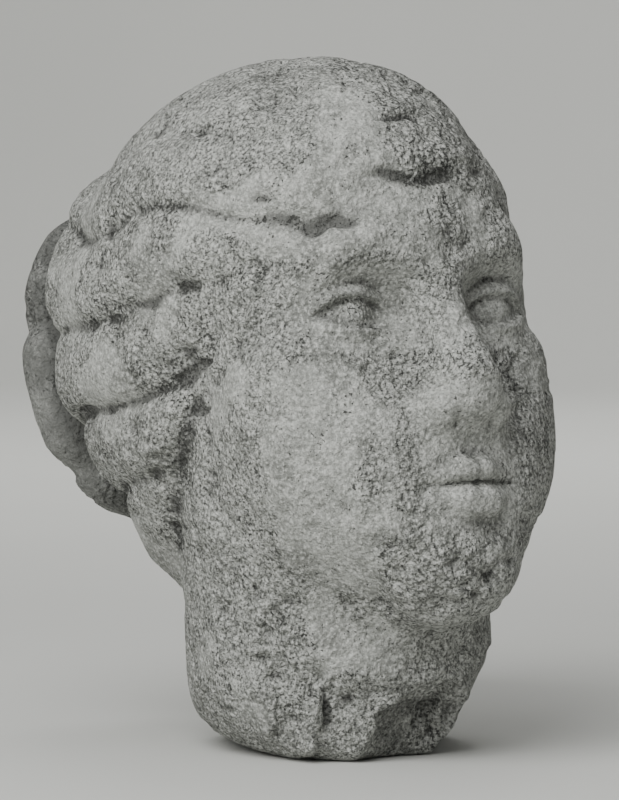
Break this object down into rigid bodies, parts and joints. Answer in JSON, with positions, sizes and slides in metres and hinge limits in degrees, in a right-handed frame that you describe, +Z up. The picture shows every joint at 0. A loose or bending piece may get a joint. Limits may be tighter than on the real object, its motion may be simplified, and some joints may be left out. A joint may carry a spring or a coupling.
{
  "type": "carved stone head",
  "caption": "Life-size carved stone head on a broken-off neck, with waved hair drawn back to a chignon, that stands on the flat foot of its neck.",
  "frame": {"origin": "on the flat foot of the neck, under the middle of the neck", "axes": "+Z up, -Y the way the head faces, +X the head's own left"},
  "size_m": [0.1702, 0.2611, 0.276],
  "materials": {
    "stone": "coarse, weathered and pitted"
  },
  "bodies": {
    "root": {"carved_head": "stone"}
  },
  "joints": []
}
